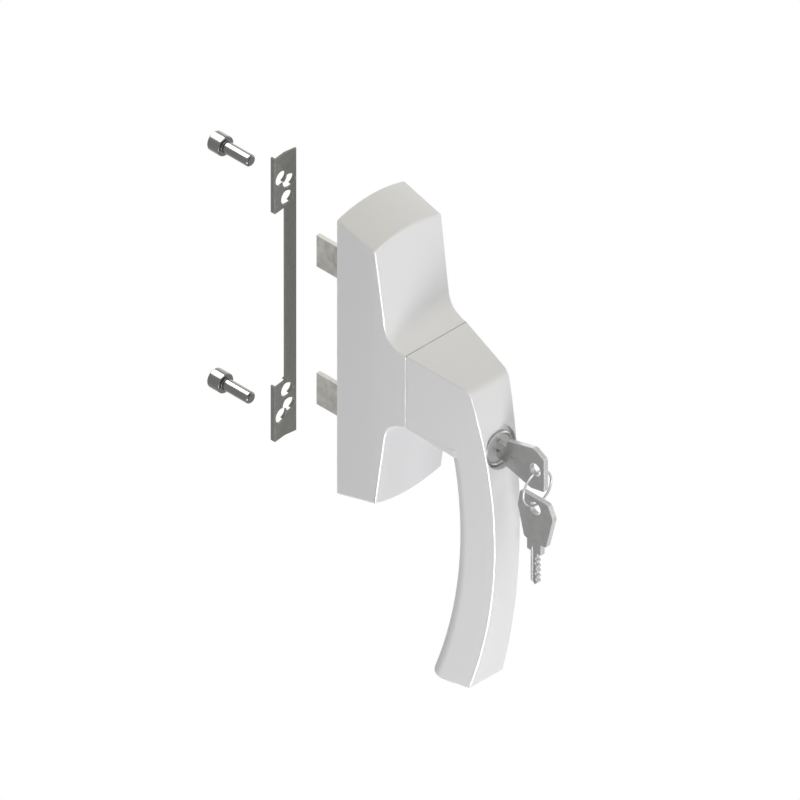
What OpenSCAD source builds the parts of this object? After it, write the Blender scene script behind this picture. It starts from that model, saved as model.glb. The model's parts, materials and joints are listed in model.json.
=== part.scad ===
// Lockable espagnolette window handle with its rack gearbox, its prongs, its fixing plate and its keys.
// X runs to the right seen from the room, Y runs from the room towards the sash and Z runs up.
// The origin is the point where the handle's pivot axis meets the back face of the base.
// Depth is measured from the back face of the base towards the room, so depth is minus Y.

/* [Base] */
// Width of the base across its side faces, at the fold
base_w = 36.4; // [36:0.1:40]
// Widening of each side face from the fold to the back
base_flare = 0.3; // [0:0.05:0.5]
// Depth of the fold beyond which the side faces lean inwards
fold_depth = 19.3; // [18:0.1:19.6]
// Length of the base between its back corners
base_len = 129.3; // [127:0.1:150]
// Depth of the base at its two ends
base_depth = 20.3; // [20:0.1:23]
// Radius of the arched end faces
base_end_r = 60; // [45:1:90]
// Slope of the end faces towards the room, in degrees
base_end_slope = 14.8; // [8:0.1:18]
// Depth of the raised centre that carries the handle
hump_depth = 35.2; // [34:0.1:37]
// Width of the front face of the raised centre
hump_w = 33.3; // [32:0.1:34]
// Height of the front face of the raised centre
hump_h = 34.2; // [33:0.1:35]
// Draft of the long front ramps, in degrees
ramp_draft = 8; // [5:0.5:10]
// Draft of the top and bottom of the raised centre, in degrees
hump_draft = 9.5; // [6:0.5:12]
// Fillet between a ramp and the raised centre
ramp_r = 10; // [6:0.5:12]
// Wall of the casing
base_wall = 2.2; // [1.8:0.1:2.4]
// Wall behind the front face of the raised centre
hump_wall = 3; // [2.5:0.1:3.5]
// Thickness of the back plate
back_plate_t = 2.4; // [2:0.1:2.5]

/* [Handle] */
// Gap between the raised centre and the handle
handle_gap = 0.45; // [0.3:0.05:0.8]
// Slope of the top of the neck, in degrees
neck_top_slope = 11.3; // [9:0.1:13]
// Slope of the underside of the neck, in degrees
neck_under_slope = 13.4; // [10:0.1:16]
// Narrowing of each side of the neck, in millimetres for each millimetre of depth
neck_taper = 0.203; // [0.18:0.001:0.22]
// Largest depth of the front of the grip
belly_depth = 74.3; // [72:0.1:80]
// Height of the deepest point of the grip, below the pivot
belly_drop = 56.6; // [50:0.2:66]
// Width of the front of the grip at its deepest point
belly_w = 13.9; // [13.6:0.1:16]
// Radius of the front of the grip
grip_front_r = 234.5; // [200:0.5:260]
// Thickness of the grip from front to rear
grip_t = 18.3; // [17:0.1:19]
// Height of the lower end of the grip, below the pivot
grip_drop = 129.8; // [115:0.2:140]
// Narrowing of each side of the grip, in millimetres for each millimetre of depth
side_taper = 0.28; // [0.26:0.002:0.3]
// Narrowing of each side of the grip, in millimetres for each millimetre down
side_lean = 0.0165; // [0.012:0.0005:0.02]
// Radius of the knee above the lock
knee_r = 4; // [1:0.5:6]
// Radius of the corner between the neck and the rear of the grip
crook_r = 1.5; // [1:0.1:4]
// Radius of the lower front corner of the grip
toe_r = 1.2; // [0.8:0.1:2]
// Radius of the lower rear corner of the grip
tip_r = 2; // [1:0.5:5]
// Radius of the edges along the neck and along the front of the grip
edge_r = 0.8; // [0.5:0.1:1]
// Radius of the edges along the rear of the grip
rear_edge_r = 5; // [3:0.1:5.5]

/* [Pivot] */
// Radius of the handle's journal
journal_r = 6; // [5.8:0.1:6.2]
// Wall of the nylon bush
bush_wall = 0.85; // [0.6:0.05:1]
// Side of the square spindle
spindle_w = 7; // [6:0.1:7.2]
// Radius of the spindle's rear end
spindle_end_r = 2.5; // [1.5:0.1:2.9]
// Running clearance on a radius
run_gap = 0.06; // [0.03:0.01:0.08]
// Clearance between fixed pieces
fit_gap = 0.03; // [0.02:0.01:0.05]

/* [Gears] */
// Number of teeth on the pinion
pinion_teeth = 16; // [16:1:17]
// Module of the teeth
gear_module = 1.25; // [1.2:0.01:1.26]
// Pressure angle of the teeth, in degrees
pressure_angle = 20; // [19:0.5:22]
// Thinning of each tooth flank
backlash = 0.08; // [0.05:0.01:0.12]
// Face width of the pinion
pinion_t = 6; // [5:0.2:6.2]
// Turn of the handle from shut to open, in degrees
handle_turn = 90; // [80:1:90]

/* [Prongs] */
// Distance of each prong's centre from the pivot, along the height
prong_z = 32.4; // [31.5:0.1:34]
// Distance of the prongs to the left of the pivot
prong_x = 5.4; // [5:0.1:5.8]
// Thickness of a prong
prong_t = 2; // [1.6:0.1:2.2]
// Height of a prong
prong_h = 14.8; // [13.6:0.1:15]
// Reach of a prong behind the base
prong_reach = 23.4; // [18:0.1:30]

/* [Lock] */
// Height of the lock axis, below the pivot
lock_drop = 17.4; // [17.2:0.1:17.6]
// Depth of the lock's seat in the grip
lock_seat = 68.8; // [68.4:0.1:69]
// Radius of the recess round the lock
recess_r = 8; // [7.8:0.05:8.1]
// Height by which the recess is longer than it is wide
recess_rise = 1.4; // [0.5:0.1:2]
// Radius of the lock's front flange
lock_flange_r = 7.5; // [7.2:0.05:7.6]
// Radius of the lock barrel
barrel_r = 6.5; // [6.2:0.1:6.6]
// Radius of the lock plug
plug_r = 4; // [3.9:0.05:4.1]
// Radius of the plug's front disc
plug_head_r = 6.2; // [5.8:0.05:6.3]
// Distance of the locking bolt from the pivot
bolt_radius = 9.9; // [9.8:0.05:9.95]
// Radius of the locking bolt's nose
bolt_nose_r = 2; // [1.6:0.1:2]
// Travel of the locking bolt
bolt_travel = 4; // [3.4:0.1:4.2]

/* [Keys] */
// Length of a key
key_len = 40.8; // [40.4:0.1:41.4]
// Length of the bow
bow_len = 20.9; // [20:0.1:21.5]
// Widest height of the bow
bow_h = 19.3; // [17:0.1:19.6]
// Offset of the bow above the blade
bow_rise = 0.8; // [0:0.1:1]
// Thickness of the bow
key_t = 2.2; // [1.6:0.1:2.2]
// Height of the blade
blade_h = 3.6; // [3.4:0.1:4.6]
// Height of the shoulder
shoulder_h = 7.6; // [6.6:0.1:8]
// Length of the shoulder
shoulder_len = 4.8; // [4.4:0.1:5]
// Distance from the bow's end to the ring hole
key_hole_at = 4.8; // [4.6:0.1:5.2]
// Radius of the ring hole
key_hole_r = 2.8; // [2.4:0.05:2.9]
// Radius of the key ring to the middle of its wire
ring_r = 7.5; // [7.2:0.1:8]
// Radius of the ring's wire
wire_r = 0.5; // [0.4:0.05:0.55]

/* [Fixing plate] */
// Length of the fixing plate
plate_len = 133; // [130:0.5:150]
// Left edge of the fixing plate
plate_left = 9; // [8.9:0.1:10]
// Right edge of the fixing plate
plate_right = 2.7; // [2.2:0.1:4]
// Thickness of the fixing plate's sheet
sheet_t = 0.8; // [0.6:0.1:1]
// Depth of the fixing plate over its flange and its thread lips
plate_t = 2.4; // [2.2:0.1:3]
// Distance of the valley in the plate's face to the left of the pivot
valley_x = 2.8; // [2.5:0.1:3.2]
// Depth of the valley
valley_depth = 0.7; // [0.3:0.1:0.9]
// Length of each end pad
pad_len = 25.7; // [24:0.1:25.7]
// Radius of the holes in the pads
pad_hole_r = 3.05; // [2.8:0.05:3.2]
// Distance of the plate's front face behind the base, as shown
plate_out = 43.3; // [40:0.1:50]

/* [Fixing screws] */
// Distance of each screw from the pivot, along the height
screw_z = 55.85; // [55:0.05:57]
// Radius of the screw's shank
screw_r = 2.5; // [2.3:0.1:2.6]
// Length of the screw's shank
shank_len = 13.8; // [12:0.1:16]
// Radius of the screw's head
head_r = 4.25; // [4:0.05:4.5]
// Height of the screw's head
head_h = 6.5; // [5:0.1:7]
// Width across the flats of the socket
socket_w = 4; // [3:0.5:4.5]
// Distance of the screw tips behind the base, as shown
screw_out = 59.7; // [56:0.1:66]

/* [Hidden] */
$fn = 48;
reach = 200;

// Base, derived
hump_half_w = hump_w / 2;
hump_half_h = hump_h / 2;
end_rise = base_end_r - sqrt(pow(base_end_r, 2) - pow(base_w / 2, 2));
crown_z = base_len / 2 + end_rise;
ramp_end_z = base_len / 2 - base_depth * tan(base_end_slope);
boss_r = 5;
insert_r = 3.5;
insert_len = 12;
post_r = 3;
post_x = 11.5;
post_gap = 2.95;
rack_end = prong_z + prong_h / 2;
post_z = rack_end + post_gap + post_r;
post_screw_r = 1.5;
post_screw_len = 8;
post_head_r = 2.75;
post_head_t = post_head_r - post_screw_r;
post_slot_w = 0.5;
post_slot_depth = 0.7;
countersink_gap = 0.1;

// Layers of the gearbox, as depths
bearing_floor = 0.5;
arm_d = back_plate_t + 0.4;
arm_t = 2.5;
gear_d = arm_d + arm_t + 0.3;
disc_d = gear_d + pinion_t + 2.4;
disc_t = 2.5;
disc_r = 9;
disc_mid = disc_d + disc_t / 2;
handle_d = hump_depth + handle_gap;
bush_flange_d = handle_d - 0.05;
bush_in_d = hump_depth - hump_wall - 0.2;
washer_t = 1;
washer_d = bush_in_d - 0.1 - washer_t;
clip_t = 1;
clip_d = washer_d - 0.1 - clip_t;
journal_d = clip_d - 1.1;
sleeve_d = disc_d + disc_t + 0.1;
socket_d = handle_d + 14.5;
bush_r = journal_r + run_gap + bush_wall;
flange_r = bush_r + 0.5;
pin_r = 1.5;
pin_d = handle_d + 9.4;
pin_reach = 13.6;

// Teeth, derived
pitch_r = gear_module * pinion_teeth / 2;
base_circle_r = pitch_r * cos(pressure_angle);
addendum = 0.9 * gear_module;
dedendum = 1.2 * gear_module;
tooth_pitch = PI * gear_module;
travel = pitch_r * handle_turn * PI / 180;
rack_back = base_w / 2 - base_wall - 0.35;
root_h = 10.8;
web_t = 1.5;
web_top = 11;
rivet_r = 1.1;
rivet_d = (web_top + arm_d + arm_t) / 2;
rivet_z = 3;

// Detent, derived
ball_r = 1.7;
ball_z = disc_r + 0.1 + ball_r;
pillar_half = 3.4;
pillar_z = disc_r + 1.2;
pillar_top = 19.5;
ball_bore_top = 18.2;

// Handle, derived
arc_centre = [belly_depth - grip_front_r, -belly_drop];
grip_rear_r = grip_front_r - grip_t;

// Lock, derived
lock_z = -lock_drop;
flange_t = 1.3;
plug_face_d = lock_seat + 0.7;
head_t = 1.2;
barrel_d = lock_seat - 8.5;
tail_d = barrel_d - 0.3;
tail_r = plug_r - 0.05;
tail_in_r = 3.1;
tail_margin = 13;
finger_gap = 0.35;
finger_half = 0.8;
finger_in = 3.15;
finger_t = 1.8;
keyway_w = key_t + 0.1;
keyway_h = blade_h + 0.3;
bolt_collar_r = 3.05;
spring_bore_r = bolt_collar_r + 0.1;
bolt_back_d = handle_d + 0.25;
finger_face_d = tail_d - bolt_travel * tail_margin / handle_turn - finger_gap;
collar_d = finger_face_d - 2.9;
spring_seat_d = handle_d + 11.4;
key_tip_d = plug_face_d - (key_len - bow_len - shoulder_len);
key_end_d = plug_face_d + bow_len + shoulder_len;
wafer_t = 0.7;
wafer_step = 1.8;
wafer_count = 4;
wafer_half_w = 2.3;

// Keys, derived
ring_d = key_end_d - key_hole_at;
ring_slack = 0.7;
ring_top_z = lock_z + bow_rise - key_hole_r + wire_r + ring_slack;
ring_z = ring_top_z - ring_r;
spare_top_z = ring_z - ring_r - key_hole_r + wire_r + ring_slack + key_hole_at;

// Plate and screws, derived
plate_back = plate_out + plate_t;
notch_half = plate_len / 2 - pad_len;
head_out = screw_out + shank_len;
lip_t = 0.6;
lip_end = -58;
lip_start = 25;
socket_depth = 2.6;

// Helpers for outlines

function heading(a) = [cos(a), sin(a)];

function crossing(p, a, q, b) =
    p + heading(a) * cross(q - p, heading(b)) / cross(heading(a), heading(b));

function arc(centre, r, from, to, steps) =
    [for (i = [0:steps]) centre + r * heading(from + (to - from) * i / steps)];

function corner(a, b, c, r, steps) =
    let (
        u = (a - b) / norm(a - b),
        v = (c - b) / norm(c - b),
        half = acos(u * v) / 2,
        centre = b + (u + v) / norm(u + v) * r / sin(half),
        start = b + u * r / tan(half) - centre,
        from = atan2(start.y, start.x),
        sweep = (180 - 2 * half) * sign(cross(b - a, c - b))
    )
    arc(centre, r, from, from + sweep, steps);

function flat(p) = [p.x, p.y];

// Outline whose points carry a corner radius as their third value
function rounded(path, steps = 8) =
    let (n = len(path))
    [for (i = [0:n - 1])
        each path[i].z == 0 ? [flat(path[i])]
            : corner(flat(path[(i + n - 1) % n]), flat(path[i]), flat(path[(i + 1) % n]), path[i].z, steps)];

function sharp(points) = [for (p = points) [p.x, p.y, 0]];

// Prism across the part from an outline in depth and height
module across(w) {
    rotate([90, 0, -90]) linear_extrude(w, center = true) children();
}

// Prism from one depth to another, from an outline in X and Z
module between(d0, d1) {
    translate([0, -d0, 0]) rotate([90, 0, 0]) linear_extrude(d1 - d0) children();
}

// Round bar from one depth to another
module rod(r, d0, d1) {
    translate([0, -d0, 0]) rotate([90, 0, 0]) cylinder(r = r, h = d1 - d0);
}

// Turned shape about the depth axis, from an outline in radius and depth
module turned() {
    rotate([90, 0, 0]) rotate_extrude() children();
}

module block(x, d, z) {
    translate([x[0], -d[1], z[0]]) cube([x[1] - x[0], d[1] - d[0], z[1] - z[0]]);
}

module tube(r_in, r_out, d0, d1) {
    turned() translate([r_in, d0]) square([r_out - r_in, d1 - d0]);
}

module both_ends() {
    children();
    mirror([0, 0, 1]) children();
}

// Base casing

function ramp_corner(inset) = crossing(
    [base_depth - inset / cos(ramp_draft), ramp_end_z], -90 + ramp_draft,
    [hump_depth, hump_half_h - inset / cos(hump_draft)], -hump_draft
);

function ramp_point(inset, z) =
    [base_depth - inset / cos(ramp_draft) + (ramp_end_z - z) * tan(ramp_draft), z];

function hump_point(inset, d) =
    [d, hump_half_h - inset / cos(hump_draft) + (hump_depth - d) * tan(hump_draft)];

// Upper half of the side outline, from the back to the front
function casing_half(inset, back, front) = let (knee = ramp_corner(inset)) concat(
    sharp([[-back, base_len], ramp_point(inset, base_len)]),
    [[knee.x, knee.y, ramp_r + inset]],
    sharp([hump_point(inset, front)])
);

function casing_outline(inset, back, front) = let (half = casing_half(inset, back, front)) concat(
    half,
    [for (i = [len(half) - 1:-1:0]) [half[i].x, -half[i].y, half[i].z]]
);

// Solid of the casing, moved inwards by an inset
module casing_form(inset, back, front) {
    fold_w = base_w / 2 - inset;
    back_w = fold_w + base_flare * (1 + back / fold_depth);
    side_slope = (base_w / 2 - hump_half_w) / (hump_depth - fold_depth);
    front_w = fold_w - (front - fold_depth) * side_slope;
    intersection() {
        across(2 * base_w) polygon(rounded(casing_outline(inset, back, front)));
        translate([0, 0, -base_len]) linear_extrude(2 * base_len) polygon([
            [-back_w, back], [-fold_w, -fold_depth], [-front_w, -front],
            [front_w, -front], [fold_w, -fold_depth], [back_w, back]
        ]);
        end_limit(inset);
        mirror([0, 0, 1]) end_limit(inset);
    }
}

// Everything below an arched and sloping end face
module end_limit(inset) {
    translate([0, 0, crown_z - inset / cos(base_end_slope)]) rotate([base_end_slope, 0, 0]) {
        translate([0, reach / 2, inset - base_end_r]) rod(base_end_r - inset, 0, reach);
        translate([-reach / 2, -reach / 2, -end_rise - 1 - reach]) cube(reach);
    }
}

module detent_bore() {
    translate([0, -disc_mid, 0]) cylinder(r = ball_r + run_gap, h = ball_bore_top);
}

// Bosses, posts and the detent pillar inside the casing
module casing_features() {
    both_ends() {
        translate([-prong_x, 0, screw_z]) rod(boss_r, 0, hump_depth);
        for (x = [-post_x, post_x]) translate([x, 0, post_z]) rod(post_r, back_plate_t + 0.05, hump_depth);
    }
    block([-pillar_half, pillar_half], [disc_mid - ball_r - 1.3, hump_depth], [pillar_z, pillar_top]);
}

module base_casing() {
    color([0.79, 0.79, 0.78]) difference() {
        casing_form(0, 0, hump_depth);
        difference() {
            casing_form(base_wall, 5, hump_depth - hump_wall);
            casing_features();
        }
        rod(bush_r + fit_gap, bush_in_d - 1, hump_depth + 1);
        rod(flange_r + fit_gap, hump_depth - 0.6, hump_depth + 1);
        for (place = [[0, -bolt_radius], [bolt_radius, 0]])
            translate([place.x, 0, place.y]) rod(bolt_nose_r + 0.15, hump_depth - hump_wall - 1, hump_depth + 1);
        detent_bore();
        both_ends() {
            translate([-prong_x, 0, screw_z]) rod(insert_r + fit_gap, -1, insert_len + 2);
            for (x = [-post_x, post_x]) translate([x, 0, post_z]) rod(post_screw_r + fit_gap, 0, post_screw_len + 1);
        }
    }
}

module back_plate() {
    color([0.55, 0.56, 0.57]) difference() {
        intersection() {
            casing_form(base_wall + 0.15, 0, hump_depth - hump_wall);
            block([-reach, reach], [0, back_plate_t], [-reach, reach]);
        }
        rod(spindle_end_r + run_gap, bearing_floor, back_plate_t + 1);
        both_ends() {
            block(
                [-prong_x - prong_t / 2 - 0.4, -prong_x + prong_t / 2 + 0.4], [-1, back_plate_t + 1],
                [rack_end - prong_h - travel - 0.5, rack_end + 0.5]
            );
            translate([-prong_x, 0, screw_z]) rod(boss_r + 0.15, -1, back_plate_t + 1);
            for (x = [-post_x, post_x]) translate([x, 0, post_z]) {
                rod(post_screw_r + fit_gap, -1, back_plate_t + 1);
                turned() polygon([
                    [0, -1], [post_head_r + countersink_gap + 1, -1],
                    [post_screw_r, post_head_t + countersink_gap], [0, post_head_t + countersink_gap]
                ]);
            }
        }
    }
}

// Countersunk screw whose head is flush with the back face
module post_screw() {
    difference() {
        turned() polygon([
            [0, countersink_gap], [post_head_r - 0.1, countersink_gap], [post_screw_r, post_head_t],
            [post_screw_r, post_screw_len - 0.4], [post_screw_r - 0.4, post_screw_len], [0, post_screw_len]
        ]);
        for (a = [0, 90]) rotate([0, a, 0]) block(
            [-post_screw_r, post_screw_r], [-1, countersink_gap + post_slot_depth],
            [-post_slot_w / 2, post_slot_w / 2]
        );
    }
}

module back_plate_screws() {
    color([0.62, 0.63, 0.65]) both_ends() for (x = [-post_x, post_x]) translate([x, 0, post_z]) post_screw();
}

module threaded_inserts() {
    color([0.72, 0.60, 0.35]) both_ends() translate([-prong_x, 0, screw_z])
        tube(screw_r + run_gap, insert_r, 0.3, insert_len);
}

module pivot_bush() {
    color([0.90, 0.90, 0.86]) difference() {
        union() {
            rod(bush_r, bush_in_d, bush_flange_d);
            rod(flange_r, hump_depth - 0.55, bush_flange_d);
        }
        rod(journal_r + run_gap, bush_in_d - 1, bush_flange_d + 1);
    }
}

module detent_ball() {
    color([0.70, 0.71, 0.73]) translate([0, -disc_mid, ball_z]) sphere(r = ball_r);
}

// Wire spring along Z, swept round by round
function coil_ring(r, wire, rise, turns, i, per_turn) = let (a = 360 * i / per_turn) [
    for (j = [0:5]) let (s = 60 * j)
        [(r + wire * cos(s)) * cos(a), (r + wire * cos(s)) * sin(a), rise * i / (per_turn * turns) + wire * sin(s)]
];

module coil_spring(r, wire, length, turns) {
    per_turn = 14;
    rings = per_turn * turns;
    points = [for (i = [0:rings]) each coil_ring(r, wire, length - 2 * wire, turns, i, per_turn)];
    sides = [for (i = [0:rings - 1], j = [0:5]) let (k = (j + 1) % 6)
        [6 * i + j, 6 * i + 6 + j, 6 * i + 6 + k, 6 * i + k]];
    translate([0, 0, wire]) polyhedron(
        points = points,
        faces = concat([[for (j = [0:5]) j]], sides, [[for (j = [5:-1:0]) 6 * rings + j]])
    );
}

module detent_spring() {
    color([0.66, 0.67, 0.70]) translate([0, -disc_mid, ball_z + ball_r + 0.05])
        coil_spring(ball_r - 0.35, 0.25, ball_bore_top - ball_z - ball_r - 0.1, 5);
}

// Handle

function on_arc(r, z) = asin((z - arc_centre.y) / r);

// Place where a line from the neck meets an arc of the grip
function neck_meets(z, a, r) = let (
    u = heading(a),
    k = [handle_d, z] - arc_centre,
    half_b = k * u,
    c = k * k - r * r
) [handle_d, z] + u * (sqrt(half_b * half_b - c) - half_b);

knee_point = neck_meets(hump_half_h, -neck_top_slope, grip_front_r);
crook_point = neck_meets(-hump_half_h, -neck_under_slope, grip_rear_r);
crook_angle = on_arc(grip_rear_r, crook_point.y);
grip_steps = 16;
bend_steps = 5;
fan_steps = 5;
tip_steps = 4;
neck_start = handle_d - 2;
foot = [arc_centre.x + grip_rear_r, -grip_drop];

function neck_line(z, a) = [neck_start, z + (neck_start - handle_d) * tan(a)];

// Path down one side of the grip below the crook, with its lower end rounded
function grip_path(r, end_r) = let (
    along = arc(arc_centre, r, crook_angle, on_arc(r, -grip_drop), grip_steps)
) concat(
    [for (i = [1:grip_steps - 1]) along[i]],
    corner(along[grip_steps - 1], along[grip_steps], foot, end_r, tip_steps)
);

// Front of the handle in side view: along the neck, round the knee, fanned down to the crook's angle, then the grip
front_path = let (
    start = neck_line(hump_half_h, -neck_top_slope),
    fan = arc(arc_centre, grip_front_r, on_arc(grip_front_r, knee_point.y), crook_angle, fan_steps)
) concat(
    [start],
    corner(start, knee_point, fan[1], knee_r, bend_steps),
    [for (i = [1:fan_steps]) fan[i]],
    grip_path(grip_front_r, toe_r)
);

// Rear of the handle in side view, which stays in the crook while the front fans down
rear_path = let (
    start = neck_line(-hump_half_h, -neck_under_slope),
    grip = grip_path(grip_rear_r, tip_r)
) concat(
    [start],
    corner(start, crook_point, grip[0], crook_r, bend_steps + fan_steps),
    grip
);
stations = len(front_path);

// Half width of the handle at a depth and a height, the lesser of neck and grip with a smooth change
function half_width(p) = let (
    neck = hump_half_w - neck_taper * (p.x - handle_d),
    grip = belly_w / 2 + side_taper * (belly_depth - p.x) + side_lean * (p.y + belly_drop)
) (neck + grip - sqrt(pow(neck - grip, 2) + 0.25)) / 2;

// Radius of the rear edges, which grows round the bend under the neck
function rear_radius(i) = edge_r + (rear_edge_r - edge_r) * min(max((i - 1) / (bend_steps + fan_steps), 0), 1);

// Draws the sides in round the lower end
function end_inset(i) = let (a = 90 * max(i - stations + 1 + tip_steps, 0) / tip_steps) edge_r * (1 - cos(a));

// Rounded cross-section between the two paths, as points in X, Y and Z
function section(i) = let (
    front = front_path[i],
    rear = rear_path[i],
    size = norm(front - rear),
    front_w = half_width(front) - end_inset(i),
    rear_w = half_width(rear) - end_inset(i),
    ring = concat(
        corner([0, rear_w], [size, front_w], [size, -front_w], edge_r, 3),
        corner([size, front_w], [size, -front_w], [0, -rear_w], edge_r, 3),
        corner([size, -front_w], [0, -rear_w], [0, rear_w], rear_radius(i), 6),
        corner([0, -rear_w], [0, rear_w], [size, front_w], rear_radius(i), 6)
    )
) [for (p = ring) let (q = rear + (front - rear) * p.x / size) [p.y, -q.x, q.y]];

// Handle as a loft through its cross-sections, cut square where it faces the base
module grip_form() {
    points = [for (i = [0:stations - 1]) each section(i)];
    n = len(points) / stations;
    sides = [for (i = [0:stations - 2], j = [0:n - 1]) let (k = (j + 1) % n)
        [n * i + j, n * i + n + j, n * i + n + k, n * i + k]];
    difference() {
        polyhedron(
            points = points,
            faces = concat(
                [[for (j = [0:n - 1]) j]], sides, [[for (j = [n - 1:-1:0]) n * (stations - 1) + j]]
            )
        );
        block([-reach, reach], [0, handle_d], [-reach, reach]);
    }
}

module square_socket(d0, d1) {
    half = spindle_w / 2 + fit_gap;
    block([-half, half], [d0, d1], [-half, half]);
}

module handle_casting() {
    color([0.83, 0.83, 0.82]) difference() {
        union() {
            grip_form();
            rod(journal_r, journal_d, handle_d + 1);
        }
        tube(journal_r - 0.6, journal_r + 1, clip_d - 0.08, clip_d + clip_t + 0.08);
        square_socket(journal_d - 1, socket_d);
        translate([-6.5, -pin_d, 0]) rotate([0, 90, 0]) cylinder(r = pin_r + fit_gap, h = reach);
        translate([0, 0, -bolt_radius]) {
            rod(bolt_nose_r + run_gap, handle_d - 1, spring_seat_d + 1);
            rod(spring_bore_r, spring_seat_d, barrel_d);
        }
        translate([0, 0, lock_z]) {
            for (rise = [0, recess_rise]) translate([0, 0, rise]) rod(recess_r, lock_seat, reach);
            block([-recess_r, recess_r], [lock_seat, reach], [0, recess_rise]);
            rod(barrel_r + fit_gap, barrel_d, lock_seat + 1);
            rod(plug_r + 0.2, tail_d - cam_rise(360) - 0.3, barrel_d + 1);
            rod(tail_in_r + 0.1, key_tip_d - 0.3, barrel_d);
            block(
                [-finger_half - 0.15, finger_half + 0.15],
                [finger_face_d - finger_t - bolt_travel - 0.3, barrel_d], [finger_in - 0.15, plug_r + 1.5]
            );
        }
    }
}

module spindle() {
    half = spindle_w / 2;
    color([0.60, 0.61, 0.63]) difference() {
        union() {
            block([-half, half], [back_plate_t + 0.2, socket_d - 0.1], [-half, half]);
            rod(spindle_end_r, bearing_floor + 0.1, back_plate_t + 1);
        }
        translate([0, -pin_d, 0]) rotate([0, 90, 0]) cylinder(r = pin_r + fit_gap, h = reach, center = true);
    }
}

module spindle_pin() {
    color([0.68, 0.69, 0.70]) translate([-6.4, -pin_d, 0]) rotate([0, 90, 0]) rotate_extrude() polygon([
        [0, 0], [pin_r - 0.3, 0], [pin_r, 0.3], [pin_r, pin_reach + 6.1], [pin_r - 0.3, pin_reach + 6.4],
        [0, pin_reach + 6.4]
    ]);
}

// Gears

function roll(r) = let (a = acos(base_circle_r / r)) tan(a) * 180 / PI - a;

// Half of a tooth's angle at a radius
function tooth_half(r) =
    90 / pinion_teeth - backlash / pitch_r * 180 / PI
    + tan(pressure_angle) * 180 / PI - pressure_angle - roll(max(r, base_circle_r));

flank_steps = 5;
flank_r = [
    for (i = [0:flank_steps])
        base_circle_r + (pitch_r + addendum - base_circle_r) * i / flank_steps
];

function tooth_outline(at) = concat(
    [(pitch_r - dedendum) * heading(at - tooth_half(base_circle_r))],
    [for (i = [0:flank_steps]) flank_r[i] * heading(at - tooth_half(flank_r[i]))],
    [for (i = [flank_steps:-1:0]) flank_r[i] * heading(at + tooth_half(flank_r[i]))],
    [(pitch_r - dedendum) * heading(at + tooth_half(base_circle_r))]
);

module drive_pinion() {
    color([0.66, 0.64, 0.60]) difference() {
        union() {
            between(gear_d, gear_d + pinion_t)
                polygon([for (i = [0:pinion_teeth - 1]) each tooth_outline(360 * i / pinion_teeth)]);
            rod(spindle_w / 2 + 2, back_plate_t + 0.25, disc_d - 0.1);
        }
        square_socket(0, disc_d);
    }
}

module index_disc() {
    color([0.58, 0.59, 0.61]) difference() {
        rod(disc_r, disc_d, disc_d + disc_t);
        square_socket(disc_d - 1, disc_d + disc_t + 1);
        for (place = [[0, ball_z], [ball_z, 0]])
            translate([place.x, 0, place.y]) rod(ball_r + 0.9, disc_d - 1, disc_d + disc_t + 1);
    }
}

module spacer_sleeve() {
    color([0.85, 0.85, 0.82])
        tube(spindle_w / 2 * sqrt(2) + 0.1, spindle_w / 2 * sqrt(2) + 1.3, sleeve_d, journal_d - 0.1);
}

module thrust_washer() {
    color([0.66, 0.67, 0.68]) tube(journal_r + 0.1, journal_r + 1.6, washer_d, washer_d + washer_t);
}

module retaining_clip() {
    color([0.35, 0.36, 0.38]) difference() {
        tube(journal_r - 0.55, journal_r + 2, clip_d, clip_d + clip_t);
        rotate([90, 0, 0]) translate([0, 0, clip_d - 1]) linear_extrude(clip_t + 2)
            polygon([[0, 0], [-reach, -reach * 1.6], [reach, -reach * 1.6]]);
        for (side = [-1, 1]) rotate([0, side * 43, 0]) translate([0, 0, -journal_r - 0.75])
            rod(0.5, clip_d - 1, clip_d + clip_t + 1);
    }
}

// Lock

module lock_barrel() {
    color([0.72, 0.72, 0.72]) translate([0, 0, lock_z]) turned() polygon([
        [plug_r + run_gap, barrel_d + 0.05], [barrel_r, barrel_d + 0.05], [barrel_r, lock_seat + 0.02],
        [lock_flange_r, lock_seat + 0.02], [lock_flange_r, lock_seat + flange_t - 0.5],
        [lock_flange_r - 0.5, lock_seat + flange_t], [plug_head_r + 0.6, lock_seat + flange_t],
        [plug_head_r + 0.1, lock_seat + flange_t - 0.5], [plug_head_r + 0.1, plug_face_d - head_t - 0.05],
        [plug_r + run_gap, plug_face_d - head_t - 0.05]
    ]);
}

// Rise of the cam at an angle round the plug, from zero to its full travel
function cam_rise(a) = bolt_travel * min(a, handle_turn + tail_margin + 2) / handle_turn;

// Wall behind the plug whose end climbs round the axis and pushes the locking bolt
module plug_cam() {
    steps = 36;
    cam_end = 335;
    points = [for (i = [0:steps], q = [[tail_in_r, 0], [tail_r, 0], [tail_r, 1], [tail_in_r, 1]])
        let (a = cam_end * i / steps, d = q[1] == 0 ? barrel_d + 1 : tail_d - cam_rise(a))
        [q[0] * sin(a), -d, q[0] * cos(a)]];
    sides = [for (i = [0:steps - 1], j = [0:3]) let (k = (j + 1) % 4)
        [4 * i + j, 4 * i + k, 4 * i + 4 + k, 4 * i + 4 + j]];
    polyhedron(points = points, faces = concat([[3, 2, 1, 0]], sides, [[for (j = [0:3]) 4 * steps + j]]));
}

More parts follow.
